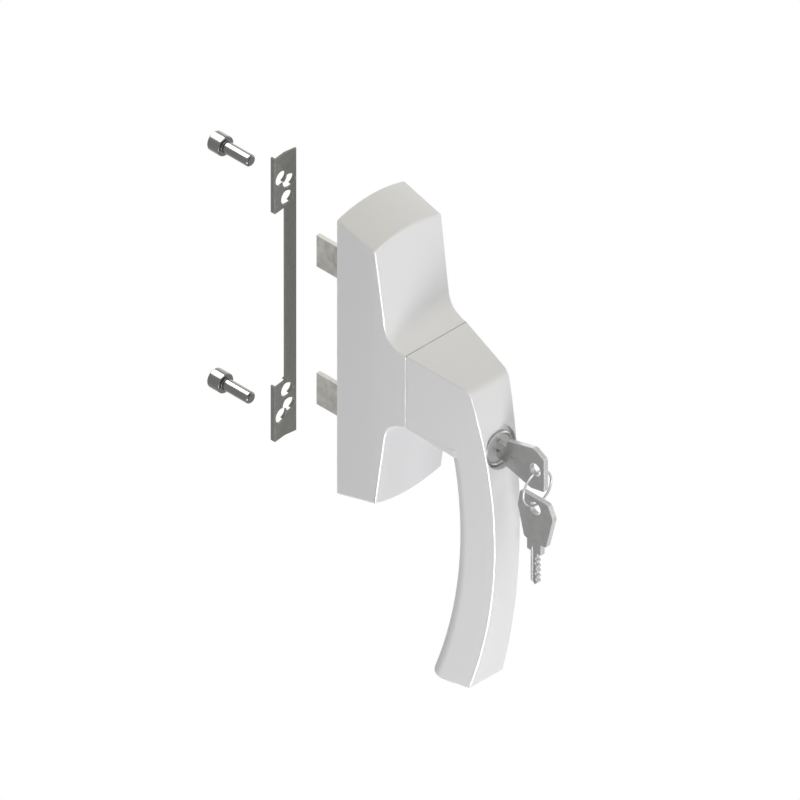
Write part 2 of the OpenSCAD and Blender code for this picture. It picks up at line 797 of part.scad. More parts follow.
module lock_plug() {
    color([0.70, 0.70, 0.70]) translate([0, 0, lock_z]) difference() {
        union() {
            rod(plug_r, barrel_d + 0.1, plug_face_d - 0.5);
            rod(plug_head_r, plug_face_d - head_t, plug_face_d);
            plug_cam();
        }
        block([-keyway_w / 2, keyway_w / 2], [0, reach], [-keyway_h / 2, keyway_h / 2]);
        block([0, keyway_w / 2 + 0.8], [0, reach], [-keyway_h / 2 + 1.2, -keyway_h / 2 + 2.4]);
        wafer_rows(wafer_t + 0.1) block([-wafer_half_w - 0.1, wafer_half_w + 0.1], [0, wafer_t + 0.1], [-reach, reach]);
    }
}

module wafer_rows(t) {
    for (i = [0:wafer_count - 1])
        translate([0, -(plug_face_d - head_t - 0.9 - wafer_step * i - t), 0]) children();
}

module lock_wafers() {
    color([0.78, 0.68, 0.42]) translate([0, 0, lock_z]) intersection() {
        rod(plug_r - 0.05, barrel_d, plug_face_d);
        wafer_rows(wafer_t + 0.05) difference() {
            block([-wafer_half_w, wafer_half_w], [0, wafer_t], [-plug_r, plug_r]);
            block([-keyway_w / 2 - 0.05, keyway_w / 2 + 0.05], [-1, wafer_t + 1], [-keyway_h / 2, keyway_h / 2]);
        }
    }
}

module lock_bolt() {
    color([0.62, 0.63, 0.65]) {
        translate([0, 0, -bolt_radius]) turned() polygon([
            [0, bolt_back_d], [bolt_nose_r - 0.4, bolt_back_d], [bolt_nose_r, bolt_back_d + 0.4],
            [bolt_nose_r, collar_d], [bolt_collar_r, collar_d], [bolt_collar_r, finger_face_d], [0, finger_face_d]
        ]);
        translate([0, 0, lock_z]) block(
            [-finger_half, finger_half], [finger_face_d - finger_t, finger_face_d],
            [finger_in, lock_drop - bolt_radius]
        );
    }
}

module lock_spring() {
    color([0.66, 0.67, 0.70]) translate([0, -spring_seat_d - 0.05, -bolt_radius]) rotate([90, 0, 0])
        coil_spring(bolt_nose_r + 0.55, 0.25, collar_d - spring_seat_d - 0.1, 6);
}

// Keys

// Outline of a key from the end of its bow to the tip of its blade, with the blade on the axis
function key_outline() = let (
    top = bow_rise + bow_h / 2,
    bottom = bow_rise - bow_h / 2,
    neck = bow_len + shoulder_len
) concat(
    [[0, top - 2.9, 1.6], [5.6, top, 3], [bow_len - 0.4, top - 3.8, 1.2], [bow_len, shoulder_h / 2, 0.3]],
    [[neck, shoulder_h / 2, 0.3], [neck, blade_h / 2, 0], [key_len - 1.4, blade_h / 2, 0], [key_len, 0.3, 0]],
    [[key_len, -0.3, 0], [key_len - 1.4, -blade_h / 2, 0], [neck, -blade_h / 2, 0], [neck, -shoulder_h / 2, 0.3]],
    [[bow_len, -shoulder_h / 2, 0.3], [bow_len - 0.4, bottom + 3.4, 1.2], [7.2, bottom, 3], [0, bottom + 1.4, 1]]
);

module key_shape(cut_depths) {
    blade_start = bow_len + shoulder_len;
    difference() {
        linear_extrude(key_t, center = true) difference() {
            polygon(rounded(key_outline(), 5));
            for (i = [0:len(cut_depths) - 1]) translate([blade_start + 2.6 + 2.4 * i, blade_h / 2])
                polygon([[-1.2, 1], [-0.4, -cut_depths[i]], [0.4, -cut_depths[i]], [1.2, 1]]);
        }
        translate([key_hole_at, bow_rise, -key_t]) cylinder(r = key_hole_r, h = 2 * key_t);
        for (side = [0, 1]) mirror([0, 0, side])
            translate([blade_start - 2, -groove_w / 2 - 0.4, key_t / 2 - 0.45]) cube([reach, groove_w, 1]);
    }
}

key_cuts = [0.9, 1.2, 0.6, 1.1, 0.7];
groove_w = 1.2;

module key() {
    color([0.66, 0.66, 0.67]) translate([0, -key_end_d, lock_z]) rotate([90, 0, 90]) key_shape(key_cuts);
}

module spare_key() {
    color([0.66, 0.66, 0.67]) translate([0, bow_rise - ring_d, spare_top_z]) rotate([180, 90, 0])
        key_shape(key_cuts);
}

module key_ring() {
    color([0.74, 0.74, 0.75]) translate([0, -ring_d, ring_z]) rotate([90, 0, 0])
        rotate_extrude() translate([ring_r, 0]) circle(r = wire_r, $fn = 16);
}

// Racks and prongs, drawn for the left side with the prong at a given X

module rack(x) {
    teeth_from = -ceil(5 / tooth_pitch);
    teeth_to = ceil((travel + 5) / tooth_pitch);
    foot = (teeth_from - 0.5) * tooth_pitch + 1;
    difference() {
        union() {
            block([-rack_back, -pitch_r - dedendum], [gear_d, gear_d + pinion_t], [foot, rack_end]);
            between(gear_d, gear_d + pinion_t) for (i = [teeth_from:teeth_to - 1])
                translate([-pitch_r, (i + 0.5) * tooth_pitch]) polygon(rack_tooth());
            block([-rack_back, -pitch_r - dedendum], [arm_d, gear_d], [prong_z - root_h / 2, rack_end]);
            block(
                [-rack_back, x + prong_t / 2 + web_t], [arm_d, arm_d + arm_t],
                [prong_z - root_h / 2, prong_z + root_h / 2]
            );
            block(
                [x + prong_t / 2 + 0.02, x + prong_t / 2 + web_t], [arm_d, web_top],
                [prong_z - root_h / 2, prong_z + root_h / 2]
            );
        }
        prong_slot(x);
        rivets_at(x) cylinder(r = rivet_r + 0.02, h = reach, center = true);
    }
}

module prong_slot(x) {
    block(
        [x - prong_t / 2 - 0.02, x + prong_t / 2 + 0.02], [0, web_top + 1],
        [prong_z - root_h / 2 + 0.75, prong_z + root_h / 2 - 0.75]
    );
}

function rack_tooth() = let (
    half = tooth_pitch / 4 - backlash,
    lean = tan(pressure_angle)
) [
    [-dedendum - 0.3, -half - (dedendum + 0.3) * lean], [addendum, -half + addendum * lean],
    [addendum, half - addendum * lean], [-dedendum - 0.3, half + (dedendum + 0.3) * lean]
];

module rivets_at(x) {
    for (z = [-rivet_z, rivet_z]) translate([x, -rivet_d, prong_z + z]) rotate([0, 90, 0]) children();
}

module prong(x) {
    tenon_half = root_h / 2 - 0.8;
    difference() {
        union() {
            block(
                [x - prong_t / 2, x + prong_t / 2], [-prong_reach, arm_d - 0.05],
                [prong_z - prong_h / 2, prong_z + prong_h / 2]
            );
            block(
                [x - prong_t / 2, x + prong_t / 2], [-1, web_top],
                [prong_z - tenon_half, prong_z + tenon_half]
            );
        }
        rivets_at(x) cylinder(r = rivet_r + 0.02, h = reach, center = true);
    }
}

module rivets(x) {
    grip = prong_t + web_t;
    rivets_at(x) translate([0, 0, -prong_t / 2]) rotate_extrude() polygon([
        [0, -0.7], [1.3, -0.7], [1.8, -0.03], [rivet_r, -0.03], [rivet_r, grip + 0.03],
        [1.8, grip + 0.03], [1.3, grip + 0.7], [0, grip + 0.7]
    ]);
}

module half_turned() {
    rotate([0, 180, 0]) children();
}

module upper_rack() { color([0.60, 0.58, 0.55]) rack(-prong_x); }
module upper_prong() { color([0.66, 0.65, 0.62]) prong(-prong_x); }
module upper_rivets() { color([0.70, 0.70, 0.70]) rivets(-prong_x); }
module lower_rack() { color([0.60, 0.58, 0.55]) half_turned() rack(prong_x); }
module lower_prong() { color([0.66, 0.65, 0.62]) half_turned() prong(prong_x); }
module lower_rivets() { color([0.70, 0.70, 0.70]) half_turned() rivets(prong_x); }

// Fixing plate and screws

module fixing_plate() {
    color([0.42, 0.42, 0.40]) {
        difference() {
            translate([0, 0, -plate_len / 2]) linear_extrude(plate_len) polygon([
                [-plate_left, plate_out], [-valley_x, plate_out + valley_depth], [plate_right, plate_out],
                [plate_right, plate_out + sheet_t], [-valley_x, plate_out + valley_depth + sheet_t],
                [-plate_left + sheet_t, plate_out + sheet_t], [-plate_left + sheet_t, plate_back],
                [-plate_left, plate_back]
            ]);
            block([-plate_left - 1, -valley_x], [-plate_back - 1, -plate_out + 1], [-notch_half, notch_half]);
            pad_holes() pad_hole();
        }
        pad_holes() thread_lip();
        corner_rib();
    }
}

// Places of the three holes of each pad, the first of them for the screw
module pad_holes() {
    for (side = [-1, 1], place = [[0, 0], [4.35, 3.15], [3.35, 10.55]])
        translate([place.x - prong_x, 0, side * (screw_z - place.y)]) children();
}

// Part of a thread formed behind the edge of a hole, deepest at its lower end
module thread_lip() {
    intersection() {
        tube(pad_hole_r, pad_hole_r + lip_t, -plate_back, -plate_out - valley_depth);
        between(-plate_back - 1, -plate_out) polygon([
            [0, 0], reach * heading(lip_end), reach * heading(lip_end / 2 + lip_start / 2), reach * heading(lip_start)
        ]);
        across(reach) polygon([
            [-plate_out, reach], [-plate_out - valley_depth - sheet_t, pad_hole_r * sin(lip_start)],
            [-plate_back, pad_hole_r * sin(lip_end)], [-plate_back, -reach], [-plate_out, -reach]
        ]);
    }
}

// Rib in the inner corner above the lower pad
module corner_rib() {
    translate([-valley_x + sheet_t / 2, 0, -notch_half]) across(sheet_t) polygon([
        [-plate_out - valley_depth - 0.2, 0], [-plate_out - valley_depth - 0.2, 2.4], [-plate_back, 0.4], [-plate_back, 0]
    ]);
}

module pad_hole() {
    rod(pad_hole_r, -plate_back - 1, -plate_out + 1);
}

module fixing_screw() {
    color([0.36, 0.36, 0.36]) difference() {
        turned() polygon([
            [0, -screw_out], [screw_r - 0.6, -screw_out], [screw_r, -screw_out - 0.6],
            [screw_r, -head_out], [head_r - 0.3, -head_out], [head_r, -head_out - 0.3],
            [head_r, -head_out - head_h + 0.5], [head_r - 0.5, -head_out - head_h], [0, -head_out - head_h]
        ]);
        translate([0, head_out + head_h - socket_depth, 0]) rotate([-90, 0, 0])
            cylinder(r = socket_w / 2 / cos(30), h = socket_depth + 1, $fn = 6);
    }
}

module fixing_screw_upper() { translate([-prong_x, 0, screw_z]) fixing_screw(); }
module fixing_screw_lower() { translate([-prong_x, 0, -screw_z]) fixing_screw(); }

base_casing();
back_plate();
back_plate_screws();
threaded_inserts();
pivot_bush();
detent_ball();
detent_spring();
handle_casting();
spindle();
spindle_pin();
drive_pinion();
index_disc();
spacer_sleeve();
thrust_washer();
retaining_clip();
lock_barrel();
lock_spring();
lock_plug();
lock_wafers();
lock_bolt();
key();
key_ring();
spare_key();
upper_rack();
upper_prong();
upper_rivets();
lower_rack();
lower_prong();
lower_rivets();
fixing_plate();
fixing_screw_upper();
fixing_screw_lower();
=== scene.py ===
"""Looks of the lockable window handle: eased edges, lacquer, plated metal and a pale studio."""

import json
import math

import bmesh
import bpy
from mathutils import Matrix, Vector


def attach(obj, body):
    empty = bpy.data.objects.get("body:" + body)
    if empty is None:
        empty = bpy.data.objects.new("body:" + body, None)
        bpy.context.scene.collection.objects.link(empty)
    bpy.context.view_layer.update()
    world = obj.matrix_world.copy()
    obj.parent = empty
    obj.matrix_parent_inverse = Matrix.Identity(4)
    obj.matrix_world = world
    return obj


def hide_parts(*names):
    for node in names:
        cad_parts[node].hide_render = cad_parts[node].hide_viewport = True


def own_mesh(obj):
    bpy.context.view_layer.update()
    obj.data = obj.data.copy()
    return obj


# Camera: an isometric view without perspective, in metres
VIEW_WIDTH = 0.3077
TO_CAMERA = Vector((-1, -1, 1)).normalized()
VIEW_RIGHT = Vector((1, -1, 0)).normalized()
VIEW_UP = TO_CAMERA.cross(VIEW_RIGHT)
CENTRE_RIGHT = 0.01112
CENTRE_UP = -0.0240
CAMERA_AWAY = 1.2

# Stage, with places in metres
FLOOR_Z = -0.60
FLOOR_SIZE = 12.0
FLOOR_PAINT = (0.8, 0.8, 0.8, 1)
SHOWN_LEVEL = 1.0
WORLD_LEVEL = 0.38
LIGHT_CENTRE = Vector((0, -0.02, -0.03))
WHITE = (1, 1, 1)
WARM = (1, 0.955, 0.77)

# Finishes: the noise's span, its scales per metre and depths in metres, and the roughness
NOISE_LOW = 0.3
NOISE_HIGH = 0.7
PEEL_SCALE = 900
PEEL_DETAIL = 3
PEEL_ROUGHNESS = (0.40, 0.50)
PEEL_STRENGTH = 0.03
PEEL_DEPTH = 0.0002
COAT_ROUGHNESS = 0.12
GRAIN_DETAIL = 4
GRAIN_ROUGHNESS_SHARES = (0.85, 1.15)
GRAIN_STRENGTH = 0.04
GRAIN_DEPTH = 0.0001
NYLON_SCALE = 500
NYLON_DETAIL = 2
NYLON_ROUGHNESS = (0.45, 0.6)

# Lacquer colours
SILVER = (0.735, 0.735, 0.75)
BASE_SILVER = (0.765, 0.765, 0.78)

# Edges, in metres and degrees: those that turn by less than EDGE_ANGLE stay as they are
EDGE_ANGLE = 22.0
SMOOTH_ANGLE = 32.0
CASING_EDGE_R = 0.0007
PRONG_EDGE_R = 0.00015
KEY_EDGE_R = 0.00015
SCREW_EDGE_R = 0.0002
PLATE_EDGE_R = 0.0001
BEVEL_SEGMENTS = 3
ROUND_PROFILE = 0.5
MERGE_DISTANCE = 1e-6
FLATNESS = 2e-6
BRIGHT_INDEX = 1

# Casing: where its edges stay sharp, and where they are eased less
CASING_BACK_Y = -0.002
PIVOT_HALF = 0.012
HUMP_FACE_Y = -0.0351
HUMP_SHARE = 0.25

# Bright faces, told by the direction they face: glossy roundings on the grip, and painted
# highlights on the prongs' and keys' edges
ROUNDING_LEAST = 0.2
ROUNDING_MOST = 0.95
PRONG_EDGE_LEAST = 0.9
KEY_FACE_LEAST = 0.5

# Neck and grip, in metres and degrees: depths from the base's back, heights from the pivot
NECK_FACE_DEPTH = 0.03565
NECK_HALF = 0.01665
NECK_TAPER = 0.203
NECK_LOW = -0.0171
NECK_UNDER_SLOPE = 13.4
GRIP_HALF = 0.00695
GRIP_TAPER = 0.28
GRIP_LEAN = 0.0165
BELLY_DEPTH = 0.0743
BELLY_Z = -0.0566

# Heel: its depths and top, how its end sinks into the grip, and its edges
HEEL_DEPTHS = (0.046, 0.050, 0.053, 0.0545, 0.056, 0.057, 0.058, 0.059, 0.060)
HEEL_TOP = -0.0185
HEEL_INSET = 0.00002
HEEL_SUNK_FROM = 0.0565
HEEL_SINKING = 90.0
HEEL_EDGE_R = 0.0007

# Recess round the lock: its axis, radius and top, its floor, and the prism that cuts it
LOCK_Z = -0.0174
RECESS_R = 0.00803
RECESS_TOP = 0.0106
RECESS_DEPTH = 0.06865
RECESS_LENGTH = 0.012
RECESS_STEPS = 72

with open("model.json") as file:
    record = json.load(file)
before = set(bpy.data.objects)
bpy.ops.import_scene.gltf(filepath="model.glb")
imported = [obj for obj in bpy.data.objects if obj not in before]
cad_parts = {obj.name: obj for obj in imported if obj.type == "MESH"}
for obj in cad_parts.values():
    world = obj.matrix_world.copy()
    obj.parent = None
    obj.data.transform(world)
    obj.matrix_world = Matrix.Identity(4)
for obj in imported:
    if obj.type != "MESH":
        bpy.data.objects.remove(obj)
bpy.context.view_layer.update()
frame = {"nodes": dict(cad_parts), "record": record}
node_slots = {
    subpart["node"]: subpart["material_slot"] for subpart in frame["record"]["subparts"]
}
node_bodies = {
    node: body
    for body, nodes in frame["record"]["behaviour"]["bodies"].items()
    for node in nodes
}


# Materials


def new_material(name):
    material = bpy.data.materials.new(name)
    material.use_nodes = True
    tree = material.node_tree
    return material, tree, tree.nodes["Principled BSDF"]


def add_noise(tree, scale, detail):
    """Noise that stays with its piece."""
    place = tree.nodes.new("ShaderNodeTexCoord")
    noise = tree.nodes.new("ShaderNodeTexNoise")
    noise.inputs["Scale"].default_value = scale
    noise.inputs["Detail"].default_value = detail
    tree.links.new(place.outputs["Object"], noise.inputs["Vector"])
    return noise.outputs["Fac"]


def add_range(tree, noise, low, high):
    """Noise spread over low to high."""
    spread = tree.nodes.new("ShaderNodeMapRange")
    spread.inputs["From Min"].default_value = NOISE_LOW
    spread.inputs["From Max"].default_value = NOISE_HIGH
    spread.inputs["To Min"].default_value = low
    spread.inputs["To Max"].default_value = high
    tree.links.new(noise, spread.inputs["Value"])
    return spread.outputs["Result"]


def add_roughness(tree, shader, noise, low, high):
    tree.links.new(add_range(tree, noise, low, high), shader.inputs["Roughness"])


def add_bump(tree, shader, noise, strength, depth):
    bump = tree.nodes.new("ShaderNodeBump")
    bump.inputs["Strength"].default_value = strength
    bump.inputs["Distance"].default_value = depth
    tree.links.new(noise, bump.inputs["Height"])
    tree.links.new(bump.outputs["Normal"], shader.inputs["Normal"])


def add_mottle(tree, shader, noise, colour, mottle):
    """Base colour that the noise darkens by up to a share of itself."""
    mix = tree.nodes.new("ShaderNodeMix")
    mix.data_type = "RGBA"
    mix.inputs["A"].default_value = (*colour, 1)
    mix.inputs["B"].default_value = (*(part * (1 - mottle) for part in colour), 1)
    tree.links.new(add_range(tree, noise, 0, 1), mix.inputs["Factor"])
    tree.links.new(mix.outputs["Result"], shader.inputs["Base Color"])


def lacquer(name, colour, coat=0.10, specular=0.35):
    """Satin lacquer with a fine orange peel."""
    material, tree, shader = new_material(name)
    shader.inputs["Base Color"].default_value = (*colour, 1)
    shader.inputs["Metallic"].default_value = 0.0
    shader.inputs["Specular IOR Level"].default_value = specular
    shader.inputs["Coat Weight"].default_value = coat
    shader.inputs["Coat Roughness"].default_value = COAT_ROUGHNESS
    peel = add_noise(tree, PEEL_SCALE, PEEL_DETAIL)
    add_roughness(tree, shader, peel, *PEEL_ROUGHNESS)
    add_bump(tree, shader, peel, PEEL_STRENGTH, PEEL_DEPTH)
    return material


def metal(name, colour, metallic, roughness, mottle=0.12, scale=600):
    """Metal with a grain that varies its gloss and its colour."""
    material, tree, shader = new_material(name)
    shader.inputs["Metallic"].default_value = metallic
    grain = add_noise(tree, scale, GRAIN_DETAIL)
    add_mottle(tree, shader, grain, colour, mottle)
    low, high = (roughness * share for share in GRAIN_ROUGHNESS_SHARES)
    add_roughness(tree, shader, grain, low, high)
    add_bump(tree, shader, grain, GRAIN_STRENGTH, GRAIN_DEPTH)
    return material


def plastic(name, colour):
    """Dull plastic."""
    material, tree, shader = new_material(name)
    shader.inputs["Base Color"].default_value = (*colour, 1)
    noise = add_noise(tree, NYLON_SCALE, NYLON_DETAIL)
    add_roughness(tree, shader, noise, *NYLON_ROUGHNESS)
    return material


POLISHED = lacquer("polished_edge", SILVER, coat=1.0)
# Near-white steel for the prongs' upper and lower faces: partly the brighter sheared edge, partly a
# painted highlight.
SHEARED_AND_HIGHLIT = metal("sheared_and_highlit_edge", (0.97, 0.97, 0.96), 0.1, 0.4)
# Lighter steel on the keys' rims: a painted highlight on the edges, beside the darker key faces.
KEY_RIM_HIGHLIGHT = metal("key_rim_highlight", (0.58, 0.58, 0.58), 0.4, 0.3)
# Steel for the fixing plate's eased edges, painted lighter than the plate's faces.
LIGHT_EDGE_STEEL = metal("light_edge_steel", (0.30, 0.30, 0.28), 0.6, 0.3)
MATERIALS = {
    "base_satin": lacquer("base_satin", BASE_SILVER, coat=0.02, specular=0.12),
    "handle_satin": lacquer("handle_satin", SILVER),
    "plated_steel": metal("plated_steel", (0.42, 0.42, 0.42), 0.9, 0.35),
    "prong_steel": metal("prong_steel", (0.56, 0.545, 0.505), 0.4, 0.4, mottle=0.30, scale=260),
    "bright_steel": metal("bright_steel", (0.55, 0.56, 0.58), 1.0, 0.2),
    "spring_steel": metal("spring_steel", (0.30, 0.31, 0.33), 1.0, 0.3),
    "brass": metal("brass", (0.62, 0.48, 0.22), 1.0, 0.3),
    "nylon": plastic("nylon", (0.80, 0.80, 0.76)),
    "lock_nickel": metal("lock_nickel", (0.42, 0.42, 0.42), 0.5, 0.3, mottle=0.03, scale=60),
    "key_nickel": metal("key_nickel", (0.305, 0.305, 0.305), 0.4, 0.35, mottle=0.10, scale=300),
    "ring_wire": metal("ring_wire", (0.60, 0.60, 0.62), 0.7, 0.25),
    "dark_steel": metal("dark_steel", (0.18, 0.18, 0.17), 0.5, 0.4),
    "dark_screw": metal("dark_screw", (0.15, 0.15, 0.145), 0.9, 0.2, mottle=0.04, scale=60),
}


def paint_nodes():
    """Gives every CAD node the finish of its slot."""
    for node, piece in frame["nodes"].items():
        piece.data.materials.clear()
        piece.data.materials.append(MATERIALS[node_slots[node]])


# Pieces that stand for CAD nodes


def new_object(name, data):
    piece = bpy.data.objects.new(name, data)
    bpy.context.scene.collection.objects.link(piece)
    return piece


def stand_in(name, mesh, node):
    """A piece that takes the place of a CAD node."""
    piece = new_object(name, mesh)
    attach(piece, node_bodies[node])
    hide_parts(node)
    return piece


def node_form(node):
    form = bmesh.new()
    form.from_mesh(frame["nodes"][node].data)
    return form


def lies_on(face, seed):
    """Whether a face lies in the plane of another."""
    middle = seed.calc_center_median()
    return all(abs((vertex.co - middle).dot(seed.normal)) < FLATNESS for vertex in face.verts)


def inner_edges(form):
    """Edges inside the flat faces, which the mesh has in triangles."""
    grouped = {}
    for seed in sorted(form.faces, key=lambda face: -face.calc_area()):
        if seed in grouped:
            continue
        grouped[seed] = seed
        waiting = [seed]
        while waiting:
            for edge in waiting.pop().edges:
                for face in edge.link_faces:
                    if face not in grouped and lies_on(face, seed):
                        grouped[face] = seed
                        waiting.append(face)
    return [
        edge
        for edge in form.edges
        if edge.is_manifold and grouped[edge.link_faces[0]] is grouped[edge.link_faces[1]]
    ]


def smooth_by_angle(mesh):
    """Smooth shading with hard edges where two faces meet at more than SMOOTH_ANGLE."""
    form = bmesh.new()
    form.from_mesh(mesh)
    for face in form.faces:
        face.smooth = True
    for edge in form.edges:
        angle = edge.calc_face_angle(0)
        edge.smooth = edge.is_manifold and angle < math.radians(SMOOTH_ANGLE)
    form.to_mesh(mesh)
    form.free()


def edge_weights(mesh, share):
    """The share of the radius that each edge takes, with none on the soft edges."""
    form = bmesh.new()
    form.from_mesh(mesh)
    weights = []
    for edge in form.edges:
        sharp = edge.is_manifold and edge.calc_face_angle(0) > math.radians(EDGE_ANGLE)
        weights.append(share(edge) if sharp else 0)
    form.free()
    return weights


def add_bevel(piece, radius, share):
    """Rounds the edges with bright faces, each by its share of the radius."""
    weights = edge_weights(piece.data, share)
    attribute = piece.data.attributes.new("bevel_weight_edge", "FLOAT", "EDGE")
    attribute.data.foreach_set("value", weights)
    bevel = piece.modifiers.new("ease", "BEVEL")
    bevel.limit_method = "WEIGHT"
    bevel.width = radius
    bevel.segments = BEVEL_SEGMENTS
    bevel.use_clamp_overlap = False
    bevel.material = BRIGHT_INDEX


def no_face(face):
    """Leaves every face plain."""
    return False


def full_share(edge):
    """Gives every edge the whole radius."""
    return 1


def eased(node, form, is_bright=no_face, radius=0, share=full_share, bright=POLISHED):
    """A smooth copy of a CAD node, with a bright finish on its eased edges and bright faces."""
    bmesh.ops.remove_doubles(form, verts=form.verts, dist=MERGE_DISTANCE)
    bmesh.ops.dissolve_edges(form, edges=inner_edges(form), use_verts=False)
    for face in form.faces:
        face.material_index = BRIGHT_INDEX if is_bright(face) else 0
    mesh = bpy.data.meshes.new(node + "_eased")
    form.to_mesh(mesh)
    form.free()
    smooth_by_angle(mesh)
    mesh.materials.append(MATERIALS[node_slots[node]])
    mesh.materials.append(bright)
    piece = stand_in(node + "_eased", mesh, node)
    if radius:
        add_bevel(piece, radius, share)
    weighted = piece.modifiers.new("weighted", "WEIGHTED_NORMAL")
    weighted.keep_sharp = True
    return piece


def casing_share(edge):
    """None at the casing's back and round the pivot, and little on the hump's face."""
    middle = (edge.verts[0].co + edge.verts[1].co) / 2
    if middle.y > CASING_BACK_Y:
        return 0
    if abs(middle.x) < PIVOT_HALF and abs(middle.z) < PIVOT_HALF:
        return 0
    return HUMP_SHARE if middle.y < HUMP_FACE_Y else 1


def is_front_rounding(face):
    """Faces between the sides and the front of the grip, past the heel."""
    past_heel = face.calc_center_median().y < -HEEL_DEPTHS[-1]
    forward = face.normal.y < -ROUNDING_LEAST
    return past_heel and forward and ROUNDING_LEAST < abs(face.normal.x) < ROUNDING_MOST


def is_prong_edge(face):
    """The narrow upper and lower faces of a prong, painted near white: partly a brighter sheared
    edge, partly a painted highlight.
    """
    return abs(face.normal.z) > PRONG_EDGE_LEAST


def is_key_edge(face):
    """The faces round the outline of a key, which carry a painted highlight."""
    return abs(face.normal.x) < KEY_FACE_LEAST


# Heel and recess of the handle


def skin(form, rings):
    """Closes a row of rings into one solid."""
    for ring, following in zip(rings, rings[1:]):
        for here in range(len(ring)):
            there = (here + 1) % len(ring)
            form.faces.new((ring[here], ring[there], following[there], following[here]))
    form.faces.new(rings[0][::-1])
    form.faces.new(rings[-1])
    bmesh.ops.recalc_face_normals(form, faces=form.faces)


def handle_half_width(depth, z):
    """Half the handle's width, on the neck or on the grip."""
    neck = NECK_HALF - NECK_TAPER * (depth - NECK_FACE_DEPTH)
    grip = GRIP_HALF + GRIP_TAPER * (BELLY_DEPTH - depth) + GRIP_LEAN * (z - BELLY_Z)
    return min(neck, grip)


def heel_ring(form, depth):
    """The two lower and the two upper corners of the heel at a depth."""
    sunk = HEEL_INSET + HEEL_SINKING * max(0, depth - HEEL_SUNK_FROM) ** 2
    slope = math.tan(math.radians(NECK_UNDER_SLOPE))
    low_z = NECK_LOW - (depth - NECK_FACE_DEPTH) * slope + sunk
    corners = ((-1, low_z), (1, low_z), (1, HEEL_TOP), (-1, HEEL_TOP))
    return [
        form.verts.new((side * (handle_half_width(depth, z) - sunk), -depth, z))
        for side, z in corners
    ]


def heel_form():
    """The neck's square underside, carried on under the rounded rear of the grip."""
    form = bmesh.new()
    rings = [heel_ring(form, depth) for depth in HEEL_DEPTHS]
    skin(form, rings)
    lower = {corner for ring in rings for corner in ring[:2]}
    edges = [
        edge
        for edge in form.edges
        if lower.issuperset(edge.verts) and edge.verts[0].co.y != edge.verts[1].co.y
    ]
    bmesh.ops.bevel(
        form,
        geom=edges,
        offset=HEEL_EDGE_R,
        segments=BEVEL_SEGMENTS,
        profile=ROUND_PROFILE,
        affect="EDGES",
    )
    return form


def recess_ring(form, depth):
    """Half an ellipse over half a circle, round the lock's axis."""
    ring = []
    for step in range(RECESS_STEPS):
        angle = 2 * math.pi * (step + 0.5) / RECESS_STEPS
        height = RECESS_TOP if math.sin(angle) > 0 else RECESS_R
        x = RECESS_R * math.cos(angle)
        z = LOCK_Z + height * math.sin(angle)
        ring.append(form.verts.new((x, -depth, z)))
    return ring


def recess_form():
    """Prism that draws the recess round the lock out to an oval at its top."""
    form = bmesh.new()
    depths = (RECESS_DEPTH, RECESS_DEPTH + RECESS_LENGTH)
    skin(form, [recess_ring(form, depth) for depth in depths])
    return form


def scratch_object(form):
    mesh = bpy.data.meshes.new("scratch")
    form.to_mesh(mesh)
    form.free()
    return new_object("scratch", mesh)


def combined(form, other, operation):
    """Union or difference of two closed forms."""
    body = scratch_object(form)
    tool = scratch_object(other)
    change = body.modifiers.new("change", "BOOLEAN")
    change.operation = operation
    change.solver = "EXACT"
    change.object = tool
    result = bmesh.new()
    result.from_object(body, bpy.context.evaluated_depsgraph_get())
    for piece in (body, tool):
        mesh = piece.data
        bpy.data.objects.remove(piece)
        bpy.data.meshes.remove(mesh)
    return result


def handle_form():
    """The handle with its heel, cut by the recess."""
    with_heel = combined(node_form("handle_casting"), heel_form(), "UNION")
    return combined(with_heel, recess_form(), "DIFFERENCE")


# Return spring


def press_spring():
    """A copy of the bolt's spring in the spring's place, with a mesh of its own."""
    mesh = frame["nodes"]["lock_spring"].data.copy()
    spring = stand_in("lock_spring_pressed", mesh, "lock_spring")
    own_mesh(spring)


# Stage


def background_share(tree):
    """1 for rays from the camera, from metal and through glass."""
    path = tree.nodes.new("ShaderNodeLightPath")
    total = path.outputs["Is Camera Ray"]
    for name in ("Is Glossy Ray", "Is Transmission Ray"):
        both = tree.nodes.new("ShaderNodeMath")
        both.operation = "MAXIMUM"
        tree.links.new(total, both.inputs[0])
        tree.links.new(path.outputs[name], both.inputs[1])
        total = both.outputs[0]
    return total


def mix_shown(tree, lit, shown, output):
    """One shader for the light on the object, another for what the camera sees."""
    mix = tree.nodes.new("ShaderNodeMixShader")
    tree.links.new(background_share(tree), mix.inputs["Fac"])
    tree.links.new(lit.outputs[0], mix.inputs[1])
    tree.links.new(shown.outputs[0], mix.inputs[2])
    tree.links.new(mix.outputs[0], tree.nodes[output].inputs["Surface"])


def make_world():
    world = bpy.data.worlds.new("studio")
    bpy.context.scene.world = world
    world.use_nodes = True
    tree = world.node_tree
    lit = tree.nodes["Background"]
    lit.inputs["Color"].default_value = (*WHITE, 1)
    lit.inputs["Strength"].default_value = WORLD_LEVEL
    shown = tree.nodes.new("ShaderNodeBackground")
    shown.inputs["Color"].default_value = (*WHITE, 1)
    shown.inputs["Strength"].default_value = SHOWN_LEVEL
    mix_shown(tree, lit, shown, "World Output")


def make_floor():
    bpy.ops.mesh.primitive_plane_add(size=FLOOR_SIZE, location=(0, 0, FLOOR_Z))
    floor = bpy.context.object
    floor.name = "floor"
    material, tree, shader = new_material("floor")
    tree.nodes.remove(shader)
    paint = tree.nodes.new("ShaderNodeBsdfDiffuse")
    paint.inputs["Color"].default_value = FLOOR_PAINT
    shown = tree.nodes.new("ShaderNodeEmission")
    shown.inputs["Strength"].default_value = SHOWN_LEVEL
    mix_shown(tree, paint, shown, "Material Output")
    floor.data.materials.append(material)


